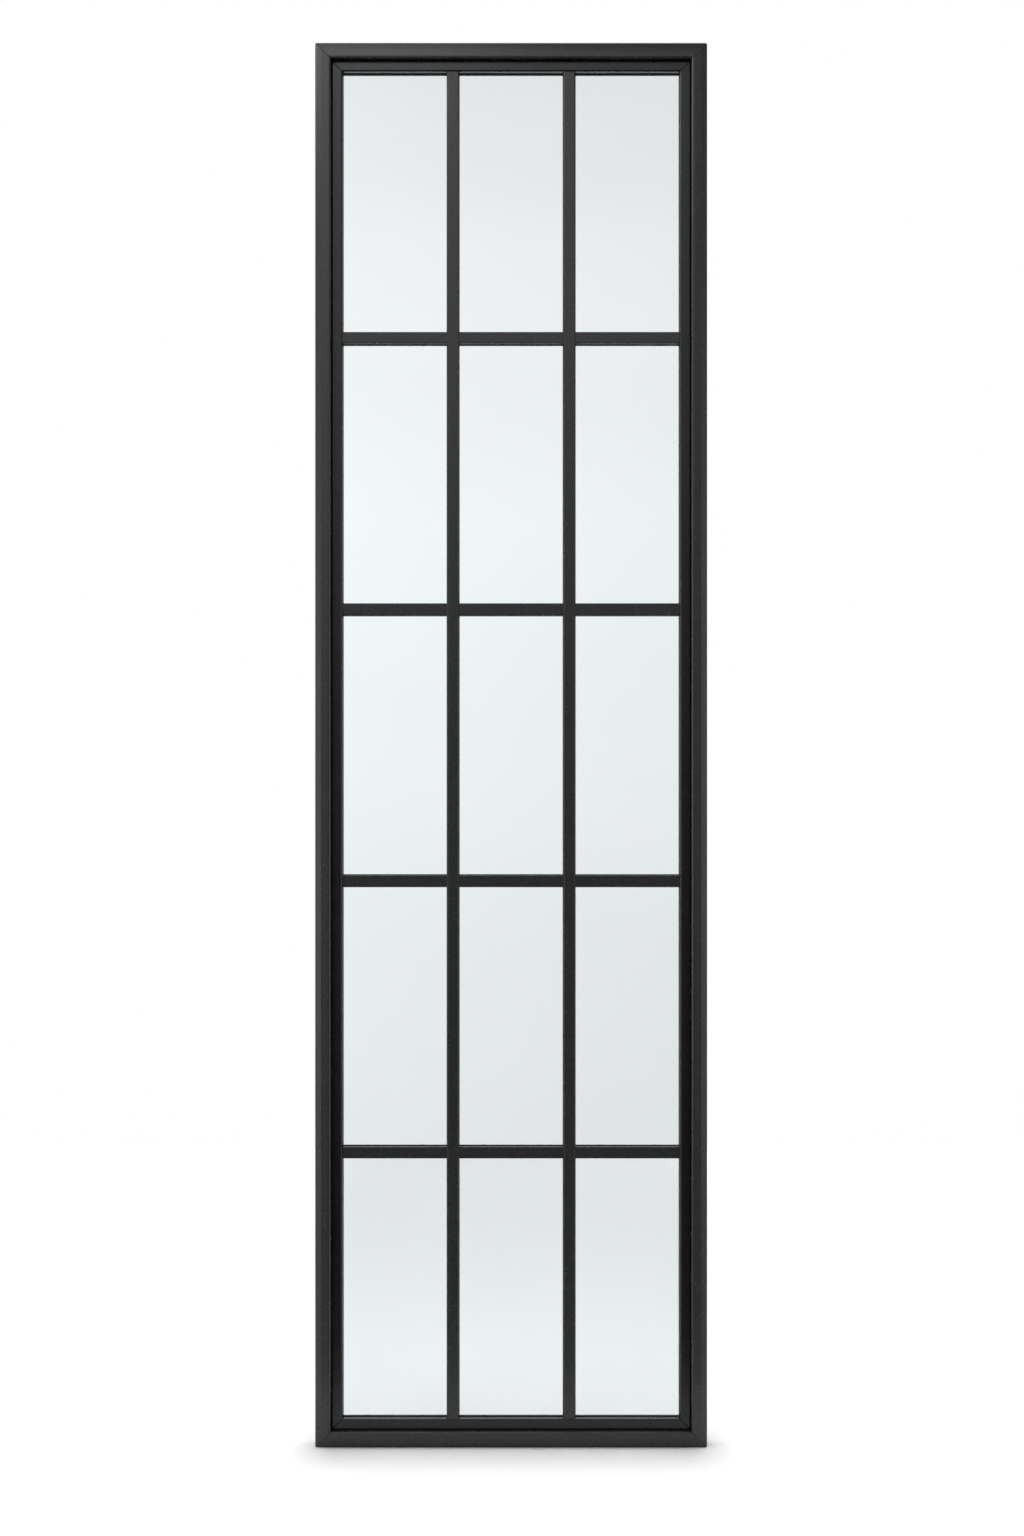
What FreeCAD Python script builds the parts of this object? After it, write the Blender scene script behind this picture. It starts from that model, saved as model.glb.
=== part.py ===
import FreeCAD
import Part
import Sketcher
import os

# A fixed steel framed window. A mitred hollow steel frame carries a mitred glazing stop, set back
# behind its front face. Tee-section glazing bars stand in the stop, with shorter rails butted
# between them, and the panes lie against their backs, held there by square steel beads.
# Millimetres. X runs across, Z runs up and the window faces -Y. The origin is the middle of the
# underside of the sill. Formulas are worked out by the document, from the two sheets below.

Vector = FreeCAD.Vector

# Columns and bars are named as seen from the front, and rows are counted down from the head.
COLUMNS = ["left", "centre", "right"]
BARS = ["left", "right"]
ROW_COUNT = 5
FIXINGS_PER_JAMB = 4

# The frame's face is flat along the stop, then bends and falls back to its outer side. The bend's
# reach is how far it spreads to either side of the line where the two meet.
SIZES = {
    "overall_width": 600,
    "overall_height": 2150,
    "frame_depth": 50,
    "frame_face": 24,
    "frame_wall": 2,
    "frame_edge_radius": 3,
    "face_flat": 10,
    "face_fall": 1.8,
    "bend_reach": 5,
    "mitre_arris": 0.8,
    "corner_dressing": 2,
    "stop_face": 17,
    "stop_depth": 13,
    "stop_setback": 15,
    "stop_edge_radius": 2.5,
    "bar_face": 18,
    "bar_setback": 1.5,
    "rail_setback": 2.5,
    "bar_edge_radius": 1.5,
    "web_thickness": 5,
    "glass_thickness": 6,
    "glass_edge_gap": 2.5,
    "bead_depth": 12,
    "bead_arris": 0.8,
    "bead_end_gap": 0.5,
    "fixing_hole_diameter": 7,
    "fixing_end_distance": 150,
}

# What follows from the sizes. Depths are Y coordinates, and a rebate is the width of the seat
# behind a sight line: the stop's at the frame, and the tee's overhang at a bar or rail.
LAYOUT = {
    "border": "sizes.frame_face + sizes.stop_face",
    "opening_width": "sizes.overall_width - 2 * layout.border",
    "opening_height": "sizes.overall_height - 2 * layout.border",
    "pane_width": f"(layout.opening_width + sizes.bar_face) / {len(COLUMNS)} - sizes.bar_face",
    "pane_height": f"(layout.opening_height + sizes.bar_face) / {ROW_COUNT} - sizes.bar_face",
    "column_pitch": "layout.pane_width + sizes.bar_face",
    "row_pitch": "layout.pane_height + sizes.bar_face",
    "frame_front": "-sizes.frame_depth / 2",
    "face_bend": "sizes.frame_face - sizes.face_flat",
    "bend_radius": "sizes.bend_reach / tan(atan(sizes.face_fall / layout.face_bend) / 2)",
    "stop_front": "sizes.stop_setback - sizes.frame_depth / 2",
    "glass_front": "layout.stop_front + sizes.stop_depth",
    "glass_back": "layout.glass_front + sizes.glass_thickness",
    "web_depth": "sizes.glass_thickness + sizes.bead_depth",
    "bar_rebate": "(sizes.bar_face - sizes.web_thickness) / 2",
    "fixing_depth": "layout.glass_back + sizes.bead_depth / 2",
}

doc = FreeCAD.newDocument("steel_framed_window")


def make_sheet(name, cells):
    """A sheet with one row per value: its name, and the value under that alias."""
    sheet = doc.addObject("Spreadsheet::Sheet", name)
    for row, (alias, content) in enumerate(cells.items(), 1):
        sheet.set(f"A{row}", alias)
        sheet.set(f"B{row}", content)
        sheet.setAlias(f"B{row}", alias)
    return sheet


# A sheet names its own cells without a prefix.
sizes = make_sheet("sizes", {alias: str(value) for alias, value in SIZES.items()})
layout = make_sheet("layout", {alias: "=" + rule.replace("layout.", "") for alias, rule in LAYOUT.items()})
doc.recompute()


def worth(formula):
    """The present value of a formula."""
    return float(layout.evalExpression(formula))


def origin_part(body, role):
    """One of the planes or axes that a body carries with it."""
    return next(part for part in body.Origin.OriginFeatures if part.Role == role)


def sketch_on(body, plane, name):
    """An empty sketch on one of the body's own planes."""
    sketch = body.newObject("Sketcher::SketchObject", f"{body.Name}_{name}")
    sketch.AttachmentSupport = [(origin_part(body, plane), "")]
    sketch.MapMode = "FlatFace"
    return sketch


def bind_point(sketch, geometry, point, corner):
    """Ties a point of a sketch to a pair of formulas, measured from the sketch's origin."""
    for kind, formula in zip(("DistanceX", "DistanceY"), corner):
        rule = sketch.addConstraint(Sketcher.Constraint(kind, -1, 1, geometry, point, worth(formula)))
        sketch.setExpression(f"Constraints[{rule}]", formula)


def outline(sketch, corners):
    """A closed outline of straight lines, with its corners at pairs of formulas."""
    first = sketch.GeometryCount
    points = [Vector(worth(across), worth(up), 0) for across, up in corners]
    for start, end in zip(points, points[1:] + points[:1]):
        sketch.addGeometry(Part.LineSegment(start, end))
    for number, corner in enumerate(corners):
        line = first + number
        following = first + (number + 1) % len(corners)
        sketch.addConstraint(Sketcher.Constraint("Coincident", line, 2, following, 1))
        bind_point(sketch, line, 1, corner)


def rectangle(low_across, high_across, low_up, high_up):
    """The four corners of an upright rectangle."""
    return [
        (low_across, low_up),
        (high_across, low_up),
        (high_across, high_up),
        (low_across, high_up),
    ]


def section_bar(name, loops, low_reach, high_reach):
    """A bar drawn as its section, Y back and Z inward, and run along X both ways from the origin."""
    body = doc.addObject("PartDesign::Body", name)
    section = sketch_on(body, "YZ_Plane", "section")
    for loop in loops:
        outline(section, loop)
    run = body.newObject("PartDesign::Pad", f"{name}_run")
    run.Profile = section
    run.SideType = "Two sides"
    run.setExpression("Length", high_reach)
    run.setExpression("Length2", low_reach)
    doc.recompute()
    return body


def round_edges(body, name, corners, radius):
    """Rounds the long edges that pass through these corners of the section."""
    before = body.Tip
    spots = [Vector(0, worth(back), worth(inward)) for back, inward in corners]
    chosen = []
    for number, edge in enumerate(before.Shape.Edges, 1):
        middle = edge.BoundBox.Center
        middle.x = 0
        if any(middle.isEqual(spot, Part.Precision.confusion()) for spot in spots):
            chosen.append(f"Edge{number}")
    fillet = body.newObject("PartDesign::Fillet", f"{body.Name}_{name}")
    fillet.Base = (before, chosen)
    fillet.setExpression("Radius", radius)
    doc.recompute()


def cut_through(body, sketch, name, sides="Symmetric", reverse=False):
    """Cuts a sketch right through the body, and makes sure that it took something away."""
    before = body.Tip.Shape.Volume
    pocket = body.newObject("PartDesign::Pocket", f"{body.Name}_{name}")
    pocket.Profile = sketch
    pocket.Type = "ThroughAll"
    pocket.SideType = sides
    pocket.Reversed = reverse
    doc.recompute()
    if not pocket.Shape.Volume < before:
        raise RuntimeError(f"{pocket.Name} cuts nothing")
    return pocket


def place(body, label, across, back, up, turn=0):
    """Names a finished piece and puts it in the window, turned about Y."""
    body.Label = label
    body.Placement = FreeCAD.Placement(Vector(), FreeCAD.Rotation(Vector(0, 1, 0), turn))
    for axis, formula in zip("xyz", (across, back, up)):
        body.setExpression(f"Placement.Base.{axis}", formula)
    return body


def mitre_ends(body, length):
    """Saws both ends at 45 degrees, inward from the outer corners of the frame."""
    lines = sketch_on(body, "XZ_Plane", "mitre_lines")
    border = "layout.border"
    for side in ("", "-"):
        tip = f"{side}{length} / 2"
        heel = f"{side}({length} / 2 - {border})"
        outline(lines, [(tip, "0"), (tip, border), (heel, border)])
    cut_through(body, lines, "mitres")


def groove_mitres(body, front):
    """Rounds the arris of both sawn ends, so that a mitre shows as a fine groove.

    The edges found are those across the front, and what runs on smoothly from them follows.
    """
    before = body.Tip
    face = worth(front)
    touch = Part.Precision.confusion()
    chosen = []
    for number, edge in enumerate(before.Shape.Edges, 1):
        ends = [vertex.Point for vertex in edge.Vertexes]
        run = ends[-1] - ends[0]
        on_face = all(abs(end.y - face) < touch for end in ends)
        if on_face and min(abs(run.x), abs(run.z)) > touch:
            chosen.append(f"Edge{number}")
    groove = body.newObject("PartDesign::Fillet", f"{body.Name}_mitre_grooves")
    groove.Base = (before, chosen)
    groove.setExpression("Radius", "sizes.mitre_arris")
    doc.recompute()


def dress_corners(body, length):
    """Takes the sharp tips off the mitred ends."""
    lines = sketch_on(body, "XZ_Plane", "corner_lines")
    dressing = "sizes.corner_dressing"
    for side in ("", "-"):
        tip = f"{side}{length} / 2"
        outline(lines, [(f"{side}({length} / 2 - {dressing})", "0"), (tip, "0"), (tip, dressing)])
    cut_through(body, lines, "corners_dressed")


def frame_member(name, length):
    """One side of the frame: a hollow section with rounded corners and mitred ends.

    Its face is flat along the stop, and falls back a little towards its outer side.
    """
    front, back = "layout.frame_front", "sizes.frame_depth / 2"
    face = "sizes.frame_face"
    fall = "sizes.face_fall"
    wall = "sizes.frame_wall"
    radius = "sizes.frame_edge_radius"
    bend = (front, "layout.face_bend")
    outside = [(f"{front} + {fall}", "0"), (back, "0"), (back, face), (front, face)]
    inside = [
        (f"{front} + {fall} + {wall}", wall),
        (f"{back} - {wall}", wall),
        (f"{back} - {wall}", f"{face} - {wall}"),
        (f"{front} + {wall}", f"{face} - {wall}"),
    ]
    inside_bend = (f"{front} + {wall}", "layout.face_bend")
    body = section_bar(name, [outside + [bend], inside + [inside_bend]], f"{length} / 2", f"{length} / 2")
    round_edges(body, "corners", outside, radius)
    round_edges(body, "inner_corners", inside, f"{radius} - {wall}")
    round_edges(body, "face_bend", [bend], "layout.bend_radius")
    mitre_ends(body, length)
    groove_mitres(body, front)
    dress_corners(body, length)
    return body


def stop_member(name, length):
    """One side of the glazing stop: a square bar with softened front edges and mitred ends."""
    front = "layout.stop_front"
    border = "layout.border"
    section = rectangle(front, "layout.glass_front", "sizes.frame_face", border)
    body = section_bar(name, [section], f"{length} / 2", f"{length} / 2")
    round_edges(body, "front_edges", [section[0], section[-1]], "sizes.stop_edge_radius")
    mitre_ends(body, length)
    groove_mitres(body, front)
    return body


def drill_fixings(body, length):
    """A line of holes through both walls of a jamb, where the beads hide their inner ends."""
    hole = sketch_on(body, "XY_Plane", "fixing_hole")
    diameter = "sizes.fixing_hole_diameter"
    hole.addGeometry(Part.Circle(Vector(), Vector(0, 0, 1), worth(diameter) / 2))
    bind_point(hole, 0, 3, (f"sizes.fixing_end_distance - {length} / 2", "layout.fixing_depth"))
    rule = hole.addConstraint(Sketcher.Constraint("Diameter", 0, worth(diameter)))
    hole.setExpression(f"Constraints[{rule}]", diameter)
    first = cut_through(body, hole, "first_fixing")
    line = body.newObject("PartDesign::LinearPattern", f"{body.Name}_fixings")
    line.Originals = [first]
    line.Direction = (origin_part(body, "X_Axis"), [""])
    line.setExpression("Length", f"{length} - 2 * sizes.fixing_end_distance")
    line.Occurrences = FIXINGS_PER_JAMB
    body.Tip = line
    doc.recompute()


def tee_bar(name, setback, sight_length, low_cope, high_cope):
    """A tee glazing bar, its flange coped back at each end so that its web runs on behind.

    The back of the flange, which the glass lies against, is at Y = 0.
    """
    flange_front = f"{setback} - sizes.stop_depth"
    half_face = "sizes.bar_face / 2"
    half_web = "sizes.web_thickness / 2"
    half_sight = f"{sight_length} / 2"
    tee = [
        (flange_front, f"-{half_face}"),
        ("0", f"-{half_face}"),
        ("0", f"-{half_web}"),
        ("layout.web_depth", f"-{half_web}"),
        ("layout.web_depth", half_web),
        ("0", half_web),
        ("0", half_face),
        (flange_front, half_face),
    ]
    body = section_bar(name, [tee], f"{half_sight} + {low_cope}", f"{half_sight} + {high_cope}")
    round_edges(body, "arrises", [tee[0], tee[-1]], "sizes.bar_edge_radius")
    copes = sketch_on(body, "XZ_Plane", "cope_lines")
    for side, cope in (("-", low_cope), ("", high_cope)):
        shoulder, tip = f"{side}{half_sight}", f"{side}({half_sight} + {cope})"
        outline(copes, rectangle(shoulder, tip, f"-{half_face}", half_face))
    cut_through(body, copes, "copes", sides="One side", reverse=True)
    return body


def bead_strip(name, rebate, length):
    """A square bead with its two rear arrises taken off. Its sight edge is at Z = 0."""
    depth = "sizes.bead_depth"
    arris = "sizes.bead_arris"
    section = [
        ("0", "0"),
        (f"{depth} - {arris}", "0"),
        (depth, arris),
        (depth, f"{rebate} - {arris}"),
        (f"{depth} - {arris}", rebate),
        ("0", rebate),
    ]
    return section_bar(name, [section], f"({length}) / 2", f"({length}) / 2")


def column_middle(column):
    """The X coordinate of the middle of a column of panes."""
    return f"{column - (len(COLUMNS) - 1) / 2} * layout.column_pitch"


def row_middle(row):
    """The Z coordinate of the middle of a row of panes."""
    return f"sizes.overall_height / 2 + {(ROW_COUNT - 1) / 2 - row} * layout.row_pitch"


def rebates(number, count):
    """The rebates before and after one of a line of panes: the stop's at the frame, else a bar's."""
    before = "sizes.stop_face" if number == 0 else "layout.bar_rebate"
    after = "sizes.stop_face" if number == count - 1 else "layout.bar_rebate"
    return before, after


def make_frame():
    """The four mitred sides of the frame and of the stop inside it, each turned inward."""
    width, height = "sizes.overall_width", "sizes.overall_height"
    sides = [
        ("head", width, "0", height, 180),
        ("sill", width, "0", "0", 0),
        ("left_jamb", height, f"-{width} / 2", f"{height} / 2", 90),
        ("right_jamb", height, f"{width} / 2", f"{height} / 2", -90),
    ]
    made = []
    for side, length, across, up, turn in sides:
        member = frame_member(f"frame_{side}", length)
        if side.endswith("jamb"):
            drill_fixings(member, length)
        stop = stop_member(f"glazing_stop_{side}", length)
        made += [place(body, body.Name, across, "0", up, turn) for body in (member, stop)]
    return made


def make_bars():
    """The upright glazing bars, whole from head to sill."""
    made = []
    stop = "sizes.stop_face"
    for number, side in enumerate(BARS):
        name = f"glazing_bar_{side}"
        bar = tee_bar(name, "sizes.bar_setback", "layout.opening_height", stop, stop)
        across = f"{column_middle(number)} + layout.column_pitch / 2"
        made.append(place(bar, name, across, "layout.glass_front", "sizes.overall_height / 2", -90))
    return made


def make_rails():
    """The level rails, cut to fit between the jambs and the upright bars."""
    made = []
    for row in range(ROW_COUNT - 1):
        up = f"{row_middle(row)} - layout.row_pitch / 2"
        for column, side in enumerate(COLUMNS):
            name = f"rail_{row + 1}_{side}"
            copes = rebates(column, len(COLUMNS))
            rail = tee_bar(name, "sizes.rail_setback", "layout.pane_width", *copes)
            made.append(place(rail, name, column_middle(column), "layout.glass_front", up))
    return made


def make_panes():
    """A pane for each light, a little smaller than the rebates that it lies in."""
    made = []
    gap = "sizes.glass_edge_gap"
    for row in range(ROW_COUNT):
        above, below = rebates(row, ROW_COUNT)
        for column, side in enumerate(COLUMNS):
            left, right = rebates(column, len(COLUMNS))
            name = f"pane_{row + 1}_{side}"
            pane = doc.addObject("Part::Box", name)
            pane.setExpression("Length", f"layout.pane_width + {left} + {right} - 2 * {gap}")
            pane.setExpression("Width", "sizes.glass_thickness")
            pane.setExpression("Height", f"layout.pane_height + {above} + {below} - 2 * {gap}")
            across = f"{column_middle(column)} - layout.pane_width / 2 - {left} + {gap}"
            up = f"{row_middle(row)} - layout.pane_height / 2 - {below} + {gap}"
            made.append(place(pane, name, across, "layout.glass_front", up))
    return made


def make_beads():
    """Four beads behind each pane, grouped by the bar, rail or side of the frame that they are on.

    The level beads run from web to web, and the upright ones fit between them.
    """
    levels = ["head"] + [f"rail_{row}" for row in range(1, ROW_COUNT)] + ["sill"]
    uprights = ["left_jamb"] + [f"{side}_bar" for side in BARS] + ["right_jamb"]
    groups = {carrier: [] for carrier in levels + uprights}
    half_width, half_height = "layout.pane_width / 2", "layout.pane_height / 2"
    end_gap = "sizes.bead_end_gap"
    upright = f"layout.pane_height - 2 * {end_gap}"
    for row in range(ROW_COUNT):
        above, below = rebates(row, ROW_COUNT)
        up = row_middle(row)
        for column, side in enumerate(COLUMNS):
            left, right = rebates(column, len(COLUMNS))
            across = column_middle(column)
            level = f"layout.pane_width + {left} + {right} - 2 * {end_gap}"
            level_across = f"{across} + ({right} - {left}) / 2"
            edges = [
                ("above", levels[row], above, level, level_across, f"{up} + {half_height}", 0),
                ("below", levels[row + 1], below, level, level_across, f"{up} - {half_height}", 180),
                ("left", uprights[column], left, upright, f"{across} - {half_width}", up, -90),
                ("right", uprights[column + 1], right, upright, f"{across} + {half_width}", up, 90),
            ]
            for edge, carrier, rebate, length, sight_across, sight_up, turn in edges:
                name = f"bead_{row + 1}_{side}_{edge}"
                strip = bead_strip(name, rebate, length)
                place(strip, name, sight_across, "layout.glass_back", sight_up, turn)
                groups[carrier].append(strip)
    made = []
    for carrier, strips in groups.items():
        beads = doc.addObject("Part::Compound", f"beads_{carrier}")
        beads.Links = strips
        made.append(beads)
    return made


def write_parts(subparts):
    """Makes sure that the whole document is sound, and writes each sub-part to its own file."""
    doc.recompute()
    for item in doc.Objects:
        if "Invalid" in item.State or "Error" in item.State:
            raise RuntimeError(f"{item.Label} failed: {item.State}")
    for subpart in subparts:
        if subpart.Shape.isNull() or not subpart.Shape.isValid():
            raise RuntimeError(f"{subpart.Label} has no sound shape")
    os.makedirs("parts", exist_ok=True)
    for subpart in subparts:
        subpart.Shape.exportStep(f"parts/{subpart.Label}.step")
    print(len(subparts), "sub-parts written")


write_parts(make_frame() + make_bars() + make_rails() + make_panes() + make_beads())
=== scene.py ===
# %% [markdown]
# # A steel framed window
# The real object is a tall fixed window: a mitred frame of hollow steel, slim tee bars and fifteen panes of
# clear glass, all coated satin black. Its solids were drawn to size in a CAD program, so this lesson
# doesn't model them again. It loads them, gives them paint and glass, and adds what a drawing leaves out:
# the sealant lines and the screws that hold the beads. Blender opens with a cube, a lamp and a camera of
# its own. They would count as pieces and light the picture wrongly, so they go before anything is measured.

import math

import bmesh
import bpy
from mathutils import Matrix, Vector


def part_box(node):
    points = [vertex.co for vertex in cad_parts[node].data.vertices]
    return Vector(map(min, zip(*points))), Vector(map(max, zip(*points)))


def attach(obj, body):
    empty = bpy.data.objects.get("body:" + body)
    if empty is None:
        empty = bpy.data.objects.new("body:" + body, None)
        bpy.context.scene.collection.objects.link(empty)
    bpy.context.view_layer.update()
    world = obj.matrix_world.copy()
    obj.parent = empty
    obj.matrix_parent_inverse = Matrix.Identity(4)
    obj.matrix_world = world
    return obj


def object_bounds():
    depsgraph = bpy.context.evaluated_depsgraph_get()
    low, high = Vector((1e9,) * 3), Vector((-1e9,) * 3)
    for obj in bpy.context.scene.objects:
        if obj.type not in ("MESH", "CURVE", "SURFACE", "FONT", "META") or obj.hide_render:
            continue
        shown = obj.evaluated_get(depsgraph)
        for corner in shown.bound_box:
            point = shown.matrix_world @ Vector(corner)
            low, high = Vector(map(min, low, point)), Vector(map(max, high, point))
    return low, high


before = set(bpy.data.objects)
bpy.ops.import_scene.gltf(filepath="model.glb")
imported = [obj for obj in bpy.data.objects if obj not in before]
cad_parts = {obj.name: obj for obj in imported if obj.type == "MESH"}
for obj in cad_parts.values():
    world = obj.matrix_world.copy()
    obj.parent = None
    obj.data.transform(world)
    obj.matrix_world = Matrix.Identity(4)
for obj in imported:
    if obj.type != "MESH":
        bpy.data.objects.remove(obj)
for leftover in ("Cube", "Light", "Camera"):
    if leftover in bpy.data.objects:
        bpy.data.objects.remove(bpy.data.objects[leftover])
cad_low, cad_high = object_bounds()
print("pieces of the drawing:", len(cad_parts), "box from", tuple(cad_low), "to", tuple(cad_high))

# %% [markdown]
# Lengths here are in metres, as in the loaded model, and small ones read better in millimetres. Every later
# piece follows the glass, so its openings are measured once. A sight line is the edge of the steel that
# borders the glass. Reading it off the loaded solids, and not typing it in, keeps this script right when
# the window is drawn to another size.

# %% Measure the openings
MM = 0.001
bars = [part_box(f"glazing_bar_{side}") for side in ("left", "right")]
rails = [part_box(f"rail_{row}_left") for row in (1, 2, 3, 4)]
left_edges = [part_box("glazing_stop_left_jamb")[1].x] + [high.x for low, high in bars]
right_edges = [low.x for low, high in bars] + [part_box("glazing_stop_right_jamb")[0].x]
top_edges = [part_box("glazing_stop_head")[0].z] + [low.z for low, high in rails]
low_edges = [high.z for low, high in rails] + [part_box("glazing_stop_sill")[1].z]
columns = list(zip(left_edges, right_edges))
rows = list(zip(low_edges, top_edges))
openings = [(x0, x1, z0, z1) for x0, x1 in columns for z0, z1 in rows]
glass_front, glass_back = (corner.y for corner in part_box("pane_1_left"))
bead_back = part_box("beads_head")[1].y
print(f"{len(openings)} openings, the first {(right_edges[0] - left_edges[0]) / MM:.1f} mm wide")

# %% [markdown]
# A finish is a small network of nodes. Joining sockets by hand hides the sum that is meant, so one class
# wraps a socket: writing `1 - mask` or `a * 0.5 + b` adds the Math nodes. Its `node` method adds any other
# node, with its settings first and then the values or links of its sockets. A few nodes are used often
# enough to get a method of their own.

# %% Write node sums as Python
class Wire:
    """One output in a node tree, which can be used in sums as a number is."""

    def __init__(self, tree, socket=None):
        self.tree, self.socket = tree, socket

    def node(self, kind, settings=None, sockets=None, out=0):
        made = self.tree.nodes.new(kind)
        for name, value in (settings or {}).items():
            if name == "stops":
                ramp = made.color_ramp
                while len(ramp.elements) < len(value):
                    ramp.elements.new(1.0)
                for element, (place, shade) in zip(ramp.elements, value):
                    element.position, element.color = place, (shade, shade, shade, 1.0)
            elif name == "ease":
                made.color_ramp.interpolation = value
            else:
                setattr(made, name, value)
        for name, value in (sockets or {}).items():
            if isinstance(value, Wire):
                self.tree.links.new(value.socket, made.inputs[name])
            else:
                made.inputs[name].default_value = value
        return Wire(self.tree, made.outputs[out] if len(made.outputs) else None)

    def math(self, operation, first, second):
        return self.node("ShaderNodeMath", {"operation": operation}, {0: first, 1: second})

    def __add__(self, other):
        return self.math("ADD", self, other)

    def __sub__(self, other):
        return self.math("SUBTRACT", self, other)

    def __mul__(self, other):
        return self.math("MULTIPLY", self, other)

    def __rsub__(self, other):
        return self.math("SUBTRACT", other, self)

    __radd__, __rmul__ = __add__, __mul__

    def size(self):
        """This value without its sign."""
        return self.math("ABSOLUTE", self, 0.0)

    def rise(self, low, high):
        """0 below low, 1 above high, and smooth between them."""
        settings = {"interpolation_type": "SMOOTHSTEP"}
        return self.node("ShaderNodeMapRange", settings, {"Value": self, "From Min": low, "From Max": high})

    def noise(self, scale, detail):
        """Noise over this place, about 1 / scale metres from bump to bump."""
        return self.node("ShaderNodeTexNoise", {}, {"Vector": self, "Scale": scale, "Detail": detail})

    def blend(self, low, high):
        """A colour from low to high as this value goes from 0 to 1."""
        sockets = {0: self, 6: (*low, 1.0), 7: (*high, 1.0)}
        return self.node("ShaderNodeMix", {"data_type": "RGBA"}, sockets, out=2)

    def bump(self, strength, distance):
        """The tilt of a surface that is as high as this value."""
        return self.node("ShaderNodeBump", {}, {"Strength": strength, "Distance": distance, "Height": self})


print("node sums ready")

# %% [markdown]
# Every finish starts and ends in the same way: an empty material, the place on the piece in metres, a
# Principled shader, and the output. Object coordinates give that place, so a pattern keeps its real size
# on a long bar and on a short bead alike.

# %% Start and end a finish
def new_finish(name):
    """An empty material, and the place on the piece, which its patterns start from."""
    made = bpy.data.materials.new(name)
    made.use_nodes = True
    made.node_tree.nodes.clear()
    return made, Wire(made.node_tree).node("ShaderNodeTexCoord", out="Object")


def principled(place, **sockets):
    """A Principled shader. An underscore in a socket's name stands for a space."""
    named = {name.replace("_", " "): value for name, value in sockets.items()}
    return place.node("ShaderNodeBsdfPrincipled", {}, named)


def surface(shader):
    """Ends a finish with its shader."""
    shader.node("ShaderNodeOutputMaterial", {}, {"Surface": shader})


def grey(shade):
    """A colour with no hue."""
    return (shade, shade, shade)


print("finishes can start")

# %% [markdown]
# The steel is powder coated. The powder melts into a skin that is never quite flat: a fine orange peel,
# about a millimetre from bump to bump, which breaks up reflections and gives the satin look. The colour and
# the gloss also drift a little along each bar. One flat black would look like plastic, so the black varies
# slightly, the roughness more, and the peel goes to a Bump node. Three coats share these patterns. The
# stops sit back in the frame, in the shade of the lip, and their coat is a deeper black: painted shade for
# that recess, on top of the shade that the lip really casts. The beads are strips that are coated on their
# own, and matt: a shinier coat would show as bright lines through the glass at a low angle.

# %% Powder coat
DRIFT_SCALE, HANDLING_SCALE, DRIFT_SHARE = 5.0, 38.0, 0.6
PEEL_SCALE, FINE_PEEL_SCALE, PEEL_SHARE = 900.0, 2600.0, 0.7
PEEL_STRENGTH, PEEL_DEPTH = 0.15, 0.1 * MM
ROUGHNESS_DRIFT = 0.08
COOL_BLUE = 1.04


def powder_coat(name, dark, pale, roughness, sheen):
    made, place = new_finish(name)
    drift = place.noise(DRIFT_SCALE, 3.0)
    handling = place.noise(HANDLING_SCALE, 4.0)
    peel = place.noise(PEEL_SCALE, 1.0) * PEEL_SHARE + place.noise(FINE_PEEL_SCALE, 0.0) * (1 - PEEL_SHARE)
    mottle = drift * DRIFT_SHARE + handling * (1 - DRIFT_SHARE)
    surface(principled(place, Base_Color=mottle.blend(grey(dark), (pale, pale, pale * COOL_BLUE)),
                       Roughness=roughness + handling * ROUGHNESS_DRIFT, Specular_IOR_Level=sheen,
                       Normal=peel.bump(PEEL_STRENGTH, PEEL_DEPTH)))
    return made


satin_coat = powder_coat("satin_coat", dark=0.021, pale=0.027, roughness=0.23, sheen=0.35)
# The stops' coat: its darker black is painted shade for their recess behind the lip, not a different paint.
painted_shade_coat = powder_coat("painted_shade_coat", dark=0.006, pale=0.009, roughness=0.22, sheen=0.35)
matt_coat = powder_coat("matt_coat", dark=0.010, pale=0.014, roughness=0.45, sheen=0.08)
print("coats made:", satin_coat.name, painted_shade_coat.name, matt_coat.name)

# %% [markdown]
# The panes are float glass. It is flat to the eye, but reflections in it waver slowly, over a hand's width,
# and it takes away a little red, so white looks faintly cool through it. A Principled shader with full
# transmission does the rest, with a long soft bump for the waver and a trace of haze where a cloth has
# passed.

# %% Float glass
WAVER_SCALE, CLOTH_SCALE = 6.0, 22.0
DEEP_TINT, PALE_TINT = (0.80, 0.835, 0.85), (0.82, 0.855, 0.87)
WAVER_STRENGTH, WAVER_DEPTH = 0.05, 1.0 * MM
HAZE = 0.02
GLASS_IOR = 1.5
float_glass, place = new_finish("float_glass")
waver = place.noise(WAVER_SCALE, 1.0)
wiped = place.noise(CLOTH_SCALE, 3.0)
surface(principled(place, Base_Color=waver.blend(DEEP_TINT, PALE_TINT), Roughness=wiped * HAZE, IOR=GLASS_IOR,
                   Transmission_Weight=1.0, Normal=waver.bump(WAVER_STRENGTH, WAVER_DEPTH)))
print("float glass made")

# %% [markdown]
# The sealant is a black rubbery paste that is run into the corner between glass and steel and drawn off
# with a tool. It is duller than the paint, and the tool leaves shallow ripples, which one noise gives to
# the colour, the roughness and the bump together, so that they fall in the same places.

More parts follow.
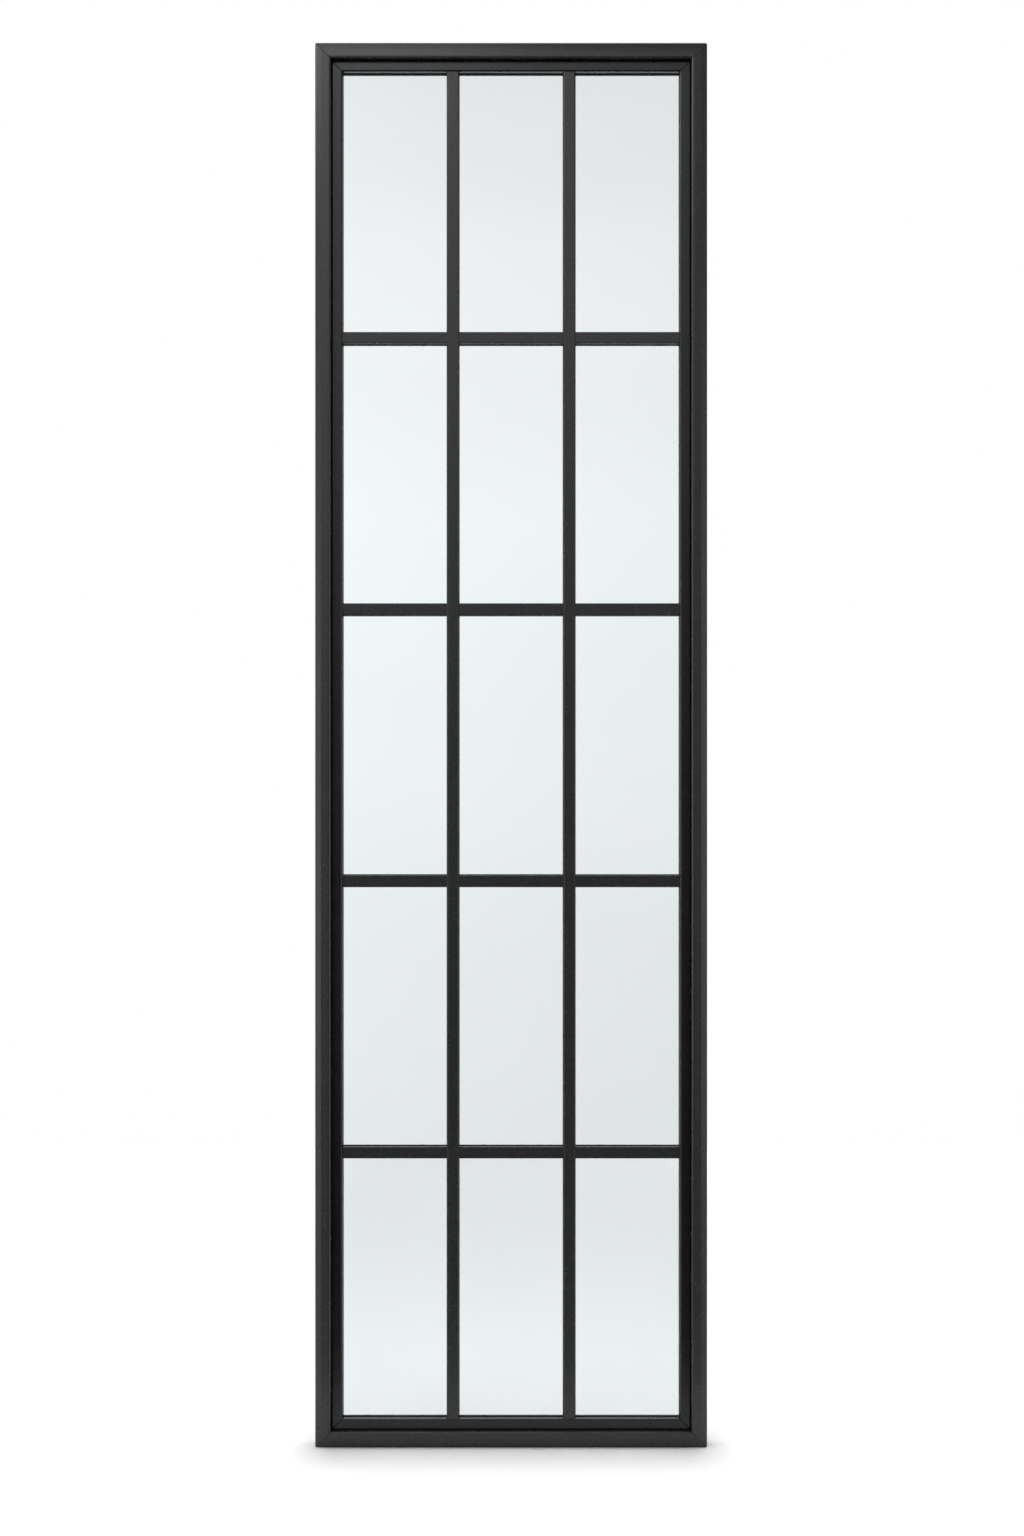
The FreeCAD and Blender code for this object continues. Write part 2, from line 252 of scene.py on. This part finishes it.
# %% Sealant
RIPPLE_SCALE = 240.0
RIPPLE_STRENGTH, RIPPLE_DEPTH = 0.25, 0.2 * MM
RUBBER_DARK, RUBBER_PALE = grey(0.008), (0.016, 0.016, 0.017)
RUBBER_ROUGHNESS, RUBBER_DRIFT, RUBBER_SHEEN = 0.5, 0.2, 0.12
sealant, place = new_finish("sealant")
ripple = place.noise(RIPPLE_SCALE, 2.0)
surface(principled(place, Base_Color=ripple.blend(RUBBER_DARK, RUBBER_PALE),
                   Roughness=RUBBER_ROUGHNESS + ripple * RUBBER_DRIFT, Specular_IOR_Level=RUBBER_SHEEN,
                   Normal=ripple.bump(RIPPLE_STRENGTH, RIPPLE_DEPTH)))
print("sealant made")

# %% [markdown]
# Each loaded solid has one material slot, named for what it is made of. The new finishes go into those
# slots, and the solids themselves aren't touched. Clear glass lets the light through, but a renderer that
# doesn't follow each bent ray to its lamp would give the panes dark shadows. So they are left out of the
# shadows and of the light that bounces between dull surfaces, and still show in the picture and in
# reflections.

# %% Dress the solids
# The stops take the coat whose darker black is painted shade.
FINISHES = {"pane": float_glass, "glazing_stop": painted_shade_coat, "beads": matt_coat}
for name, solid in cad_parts.items():
    finish = next((coat for start, coat in FINISHES.items() if name.startswith(start)), satin_coat)
    solid.material_slots[0].material = finish
    if finish is float_glass:
        solid.visible_shadow = False
        solid.visible_diffuse = False
print("dressed:", sum(name.startswith("pane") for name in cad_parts), "panes and the steel")

# %% [markdown]
# A sealant line is a ring with a three-cornered section: one face on the glass, one on the steel, and one
# that shows, slightly hollow from the tool. A curve with a bevel could draw it, but its corners would be
# round. Here rings of four corners are joined by bridging, which keeps the corners sharp and closes the
# ring with no loose edges. All the lines on one side of the glass make one mesh.

# %% Sealant lines
SEALANT_WIDTH, SEALANT_HEIGHT = 1.0 * MM, 2.4 * MM
HOLLOW = 0.36
SECTION = ((0.0, 0.0), (0.0, 1.0), (HOLLOW, HOLLOW), (1.0, 0.0))


def square_ring(bm, opening, inset, y):
    """The four edges of a rectangle, inset from an opening, in the plane of y."""
    x0, x1, z0, z1 = opening
    diagonal = Matrix.Rotation(math.pi / 4, 4, "Z")
    half = Matrix.Diagonal(((x1 - x0) / 2 - inset, (z1 - z0) / 2 - inset, 1.0, 1.0))
    upright = Matrix.Rotation(math.pi / 2, 4, "X")
    middle = Matrix.Translation(((x0 + x1) / 2, y, (z0 + z1) / 2))
    corners = bmesh.ops.create_circle(bm, segments=4, radius=math.sqrt(2.0),
                                      matrix=middle @ upright @ half @ diagonal)["verts"]
    return list({edge for vert in corners for edge in vert.link_edges})


def new_piece(name, bm, finish):
    """A finished bmesh as an object that rides on the window."""
    bmesh.ops.recalc_face_normals(bm, faces=bm.faces)
    mesh = bpy.data.meshes.new(name)
    bm.to_mesh(mesh)
    bm.free()
    mesh.materials.append(finish)
    piece = bpy.data.objects.new(name, mesh)
    bpy.context.scene.collection.objects.link(piece)
    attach(piece, "root")
    print(name, "has", len(mesh.polygons), "faces")


def sealant_lines(name, glass, outwards):
    """A ring round every opening, on the glass and growing outwards from it."""
    bm = bmesh.new()
    for opening in openings:
        rings = [square_ring(bm, opening, inset * SEALANT_WIDTH, glass + outwards * rise * SEALANT_HEIGHT)
                 for inset, rise in SECTION]
        for ring, other in zip(rings, rings[1:] + rings[:1]):
            bmesh.ops.bridge_loops(bm, edges=ring + other)
    new_piece(name, bm, sealant)


sealant_lines("sealant_front", glass_front, -1.0)
sealant_lines("sealant_back", glass_back, 1.0)

# %% [markdown]
# Screws hold the beads, so that a pane can be changed. They go sideways through a bead into the steel
# beside it, and their low round heads sit on the face that looks into the opening. A ball cut in half would
# be too tall and too smooth for a head of this kind. So a disc is drawn up and inwards twice, a socket is
# pressed into its crown, and that is repeated at every place with few faces each.

# %% Screw head
HEAD_RADIUS = 3.4 * MM
HEAD_STEPS = ((0.35 * MM, 0.95), (0.25 * MM, 0.78))
RIM_SHARE, SOCKET_DEPTH = 0.348, 0.45 * MM
SIDES_OF_HEAD = 12


def screw_head(bm, place):
    """One head with its seat at the origin of place and its crown along that place's Z."""
    start = len(bm.verts)
    seat = bmesh.ops.create_circle(bm, cap_ends=True, segments=SIDES_OF_HEAD, radius=HEAD_RADIUS)["verts"]
    crown = seat[0].link_faces[0]
    for lift, share in HEAD_STEPS:
        crown = bmesh.ops.extrude_discrete_faces(bm, faces=[crown])["faces"][0]
        bmesh.ops.translate(bm, vec=(0.0, 0.0, lift), verts=crown.verts)
        bmesh.ops.scale(bm, vec=(share, share, 1.0), verts=crown.verts)
    bmesh.ops.inset_individual(bm, faces=[crown], thickness=HEAD_RADIUS * RIM_SHARE)
    crown = bmesh.ops.extrude_discrete_faces(bm, faces=[crown])["faces"][0]
    bmesh.ops.translate(bm, vec=(0.0, 0.0, -SOCKET_DEPTH), verts=crown.verts)
    bm.verts.ensure_lookup_table()
    bmesh.ops.transform(bm, matrix=place, verts=bm.verts[start:])


print(f"a screw head is {2 * HEAD_RADIUS / MM:.1f} mm across")

# %% [markdown]
# A bead is held near both of its ends, and a tall one in the middle too. The heads are turned to look into
# the opening: rightwards on its left side, leftwards on its right, up at its foot and down at its head.

# %% Bead screws
END_DISTANCE = 38.0 * MM
SCREWS_UPRIGHT, SCREWS_LEVEL = 3, 2


def spread(low, high, count):
    """Places along an edge, the first and the last at the end distance."""
    step = (high - low - 2 * END_DISTANCE) / (count - 1)
    return [low + END_DISTANCE + step * number for number in range(count)]


bm = bmesh.new()
screw_y = (glass_back + bead_back) / 2
rightwards, leftwards = (Matrix.Rotation(turn, 4, "Y") for turn in (math.pi / 2, -math.pi / 2))
downwards = Matrix.Rotation(math.pi, 4, "X")
for x0, x1, z0, z1 in openings:
    for z in spread(z0, z1, SCREWS_UPRIGHT):
        screw_head(bm, Matrix.Translation((x0, screw_y, z)) @ rightwards)
        screw_head(bm, Matrix.Translation((x1, screw_y, z)) @ leftwards)
    for x in spread(x0, x1, SCREWS_LEVEL):
        screw_head(bm, Matrix.Translation((x, screw_y, z0)))
        screw_head(bm, Matrix.Translation((x, screw_y, z1)) @ downwards)
new_piece("bead_screws", bm, matt_coat)

# %% [markdown]
# The picture is taken in a white studio, on white paper. Paper that is lit only from above comes out grey,
# with a wide dark patch round the sill. So this paper is given painted light: it glows, though nothing lights
# it from below, and the glow is held back close to the window. The soft shadow round the sill is therefore
# partly the lamps' real shadow and partly painted, where the glow stops. Behind the window the glow is weaker
# again, right at the sill and far off: painted shade, as the lowest panes show it. Each pair below says where
# a change starts and where it is complete, in metres from the sides of the window.

# %% Paper, with painted light and shade
PAPER_DARK, PAPER_PALE, PAPER_ROUGHNESS, FIBRE_SCALE = 0.61, 0.63, 0.9, 900.0
# How bright the painted light is, and how much of it the painted shade behind the window takes away.
PAINTED_LIGHT, PAINTED_SHADE_FAR_OFF, PAINTED_SHADE_AT_SILL = 0.34, 0.47, 0.42
PAINTED_SHADOW_BESIDE, PAINTED_SHADOW_BEFORE = (-0.04, 0.05), (-0.04, 0.18)
FAR_BEHIND, FAR_BESIDE = (-0.4, 2.2), (0.08, 0.25)
SILL_STARTS, SILL_ENDS = (0.0, 0.05), (0.05, 0.7)
paper, place = new_finish("paper")
fibre = place.noise(FIBRE_SCALE, 2.0)
side, depth = (place.node("ShaderNodeSeparateXYZ", {}, {0: place}, out=axis) for axis in "XY")
beside = side.size() - cad_high.x
before = depth.size() - cad_high.y
# Painted light: the paper glows everywhere but close to the window, which leaves a painted shadow there.
painted_light = 1 - (1 - beside.rise(*PAINTED_SHADOW_BESIDE)) * (1 - before.rise(*PAINTED_SHADOW_BEFORE))
# Painted shade behind the window, far off and right at the sill.
far_off_painted_shade = (1 - beside.rise(*FAR_BESIDE)) * depth.rise(*FAR_BEHIND)
sill_painted_shade = (1 - beside.rise(*PAINTED_SHADOW_BESIDE)) * depth.rise(*SILL_STARTS) * (1 - depth.rise(*SILL_ENDS))
painted_light = painted_light * (1 - far_off_painted_shade * PAINTED_SHADE_FAR_OFF) * (1 - sill_painted_shade * PAINTED_SHADE_AT_SILL)
# The paper's emission is this painted light; no lamp stands below it.
white = principled(place, Base_Color=fibre.blend(grey(PAPER_DARK), grey(PAPER_PALE)),
                   Roughness=PAPER_ROUGHNESS, Emission_Color=painted_light.blend(grey(0.0), grey(1.0)),
                   Emission_Strength=PAINTED_LIGHT)
print("paper made")

# %% [markdown]
# A floor with an edge would draw a horizon behind the window. A curved backdrop would hide it from the
# front but stand in the way from behind. So the floor is one flat sheet that thins out to nothing: soon in
# front and at the sides, and far off behind, where a rail of the window covers the change.

# %% Floor
FLOOR_SIZE = 3.6
FADE_BESIDE, FADE_BEFORE, FADE_BEHIND = (0.7, 1.5), (0.18, 0.63), (3.0, 3.5)
kept_beside = 1 - beside.rise(*FADE_BESIDE)
kept_before = 1 - (depth * -1).rise(*FADE_BEFORE)
kept_behind = 1 - depth.rise(*FADE_BEHIND)
clear = place.node("ShaderNodeBsdfTransparent")
here = kept_beside * kept_before * kept_behind
surface(place.node("ShaderNodeMixShader", {}, {0: here, 1: clear, 2: white}))
bm = bmesh.new()
bmesh.ops.create_grid(bm, x_segments=1, y_segments=1, size=FLOOR_SIZE)
mesh = bpy.data.meshes.new("floor")
bm.to_mesh(mesh)
bm.free()
mesh.materials.append(paper)
floor = bpy.data.objects.new("floor", mesh)
bpy.context.scene.collection.objects.link(floor)
print(f"floor made, {2 * FLOOR_SIZE} m across")

# %% [markdown]
# Satin paint and glass show what stands round them, so the room matters more than the lamps. It could be
# built from white boards, but a world shader is lighter: it gives each direction a brightness. Behind the
# window is a wall that is brightest a little above the middle and on the left, which is why the panes
# aren't all of one tone. Above is a ceiling, bright at the back and dim on the camera's side, so that light
# rims the window from behind. The stops of the ramp go from straight down, at 0, over the horizon, at 0.5,
# to straight up.

# %% Room
WALL = [(0.0, 0.97), (0.43, 0.975), (0.46, 1.0), (0.505, 1.07), (0.54, 1.105), (0.575, 1.01), (0.59, 0.985),
        (0.61, 0.92), (0.63, 0.87), (1.0, 0.85)]
WALL_SLOPE, WALL_TURN, WALL_EDGE = 0.055, 0.15, (0.6, 0.9)
CEILING_BEHIND, CEILING_AHEAD, CEILING_EDGE = 3.9, 1.0, (0.55, 0.95)
HALFWAY = (-0.1, 0.1)
world = bpy.data.worlds.new("studio")
world.use_nodes = True
world.node_tree.nodes.clear()
bpy.context.scene.world = world
room = Wire(world.node_tree)
way = room.node("ShaderNodeTexCoord", out="Generated")
across, back, up = (room.node("ShaderNodeSeparateXYZ", {}, {0: way}, out=axis) for axis in "XYZ")
behind = back.rise(*HALFWAY)
ahead = 1 - behind
wall = room.node("ShaderNodeValToRGB", {"ease": "EASE", "stops": WALL}, {0: up * 0.5 + 0.5})
wall = wall * (1 + WALL_SLOPE - across.rise(-WALL_TURN, WALL_TURN) * (2 * WALL_SLOPE))
ceiling = up.rise(*CEILING_EDGE) * (behind * CEILING_BEHIND + ahead * CEILING_AHEAD)
print("wall and ceiling made")

# %% [markdown]
# Six soft panels stand on the camera's side of the room. Each is a patch of directions with soft edges,
# from one side to the other and from low to high, and a brightness. The flat faces of the steel look
# between the left and the right panel, so only the outer slopes of the jambs and the rounded edges catch
# those two. The upper panels brighten the upper half of the window, more on the left, and the two at the
# sides light the sides of the frame.

# %% Panels
PANEL_EDGE = 0.06
PANELS = {"upper": ((-0.24, 0.15), (0.12, 0.40), 1.6),
          "left": ((-0.66, -0.32), (-0.17, 0.08), 5.4),
          "left_upper": ((-0.66, -0.06), (0.06, 0.40), 0.45),
          "right": ((0.32, 0.66), (-0.17, 0.12), 3.9),
          "left_side": ((-1.1, -0.78), (-0.10, 0.60), 1.8),
          "right_side": ((0.78, 1.1), (-0.30, 0.60), 0.8)}


def between(value, low, high):
    """1 from low to high, and 0 outside, with a soft edge."""
    over_low = value.rise(low - PANEL_EDGE, low + PANEL_EDGE)
    over_high = value.rise(high - PANEL_EDGE, high + PANEL_EDGE)
    return over_low * (1 - over_high)


lit = wall * back.rise(*WALL_EDGE) + ceiling
for side_to_side, low_to_high, brightness in PANELS.values():
    lit = lit + between(across, *side_to_side) * between(up, *low_to_high) * ahead * brightness
print("panels:", *PANELS)

# %% [markdown]
# In a photograph of this kind the ground is plain white, while the panes keep a faint tone. The Light Path
# node tells the two apart: rays that come through a pane see the wall, from whichever side one looks, and
# the camera itself sees plain white. All other rays, which light the steel and are mirrored in it, see the
# whole room.

# %% Light the room
through = room.node("ShaderNodeLightPath", out="Is Transmission Ray")
seen = room.node("ShaderNodeLightPath", out="Is Camera Ray")
light = (lit * (1 - through) + wall * through) * (1 - seen) + seen
background = room.node("ShaderNodeBackground", {}, {"Color": (*grey(1.0), 1.0), "Strength": light})
room.node("ShaderNodeOutputWorld", {}, {"Surface": background})
print("room lit")

# %% [markdown]
# Two small soft boxes hang close to the top left corner. The room is the same for the whole window, but a
# lamp that is near lights the head and the left jamb more than the rest, and its light fades down the
# window and to the right, as it does on the real steel. Both are kept out of the picture and out of the
# view through the glass.

# %% Soft boxes
BOX_AIM = Vector((0.0, 0.0, 1.9))


def softbox(name, place, size, watts):
    """A square lamp at a place, turned towards the upper part of the window."""
    lamp = bpy.data.lights.new(name, "AREA")
    lamp.shape = "SQUARE"
    lamp.size = size
    lamp.energy = watts
    box = bpy.data.objects.new(name, lamp)
    box.location = place
    box.rotation_euler = (BOX_AIM - Vector(place)).to_track_quat("-Z", "Y").to_euler()
    box.visible_camera = False
    box.visible_transmission = False
    bpy.context.scene.collection.objects.link(box)


softbox("corner_box", (-0.9, -0.9, 2.6), size=0.6, watts=9.0)
softbox("upper_box", (-0.3, -1.5, 2.8), size=0.5, watts=2.2)

# %% [markdown]
# The photograph is taken square on, from about four metres, with the lens level, so that uprights stay
# upright. The height that the picture covers at the window's face gives the lens, and the window's place in
# the picture gives the camera's height and a trace of a shift to the right. The Standard view keeps white
# paper white.

# %% Camera
DISTANCE = 4.2
PICTURE_HEIGHT = 2.349
SENSOR_SIZE = 36.0
CAMERA_SIDE, CAMERA_HEIGHT = 0.0013, 1.040
eye = bpy.data.cameras.new("camera")
eye.sensor_width = SENSOR_SIZE
eye.lens = SENSOR_SIZE * DISTANCE / PICTURE_HEIGHT
camera = bpy.data.objects.new("camera", eye)
camera.location = (CAMERA_SIDE, cad_low.y - DISTANCE, CAMERA_HEIGHT)
camera.rotation_euler = (math.pi / 2, 0.0, 0.0)
bpy.context.scene.collection.objects.link(camera)
bpy.context.scene.camera = camera
bpy.context.scene.view_settings.view_transform = "Standard"
print(f"lens {eye.lens:.1f} mm")
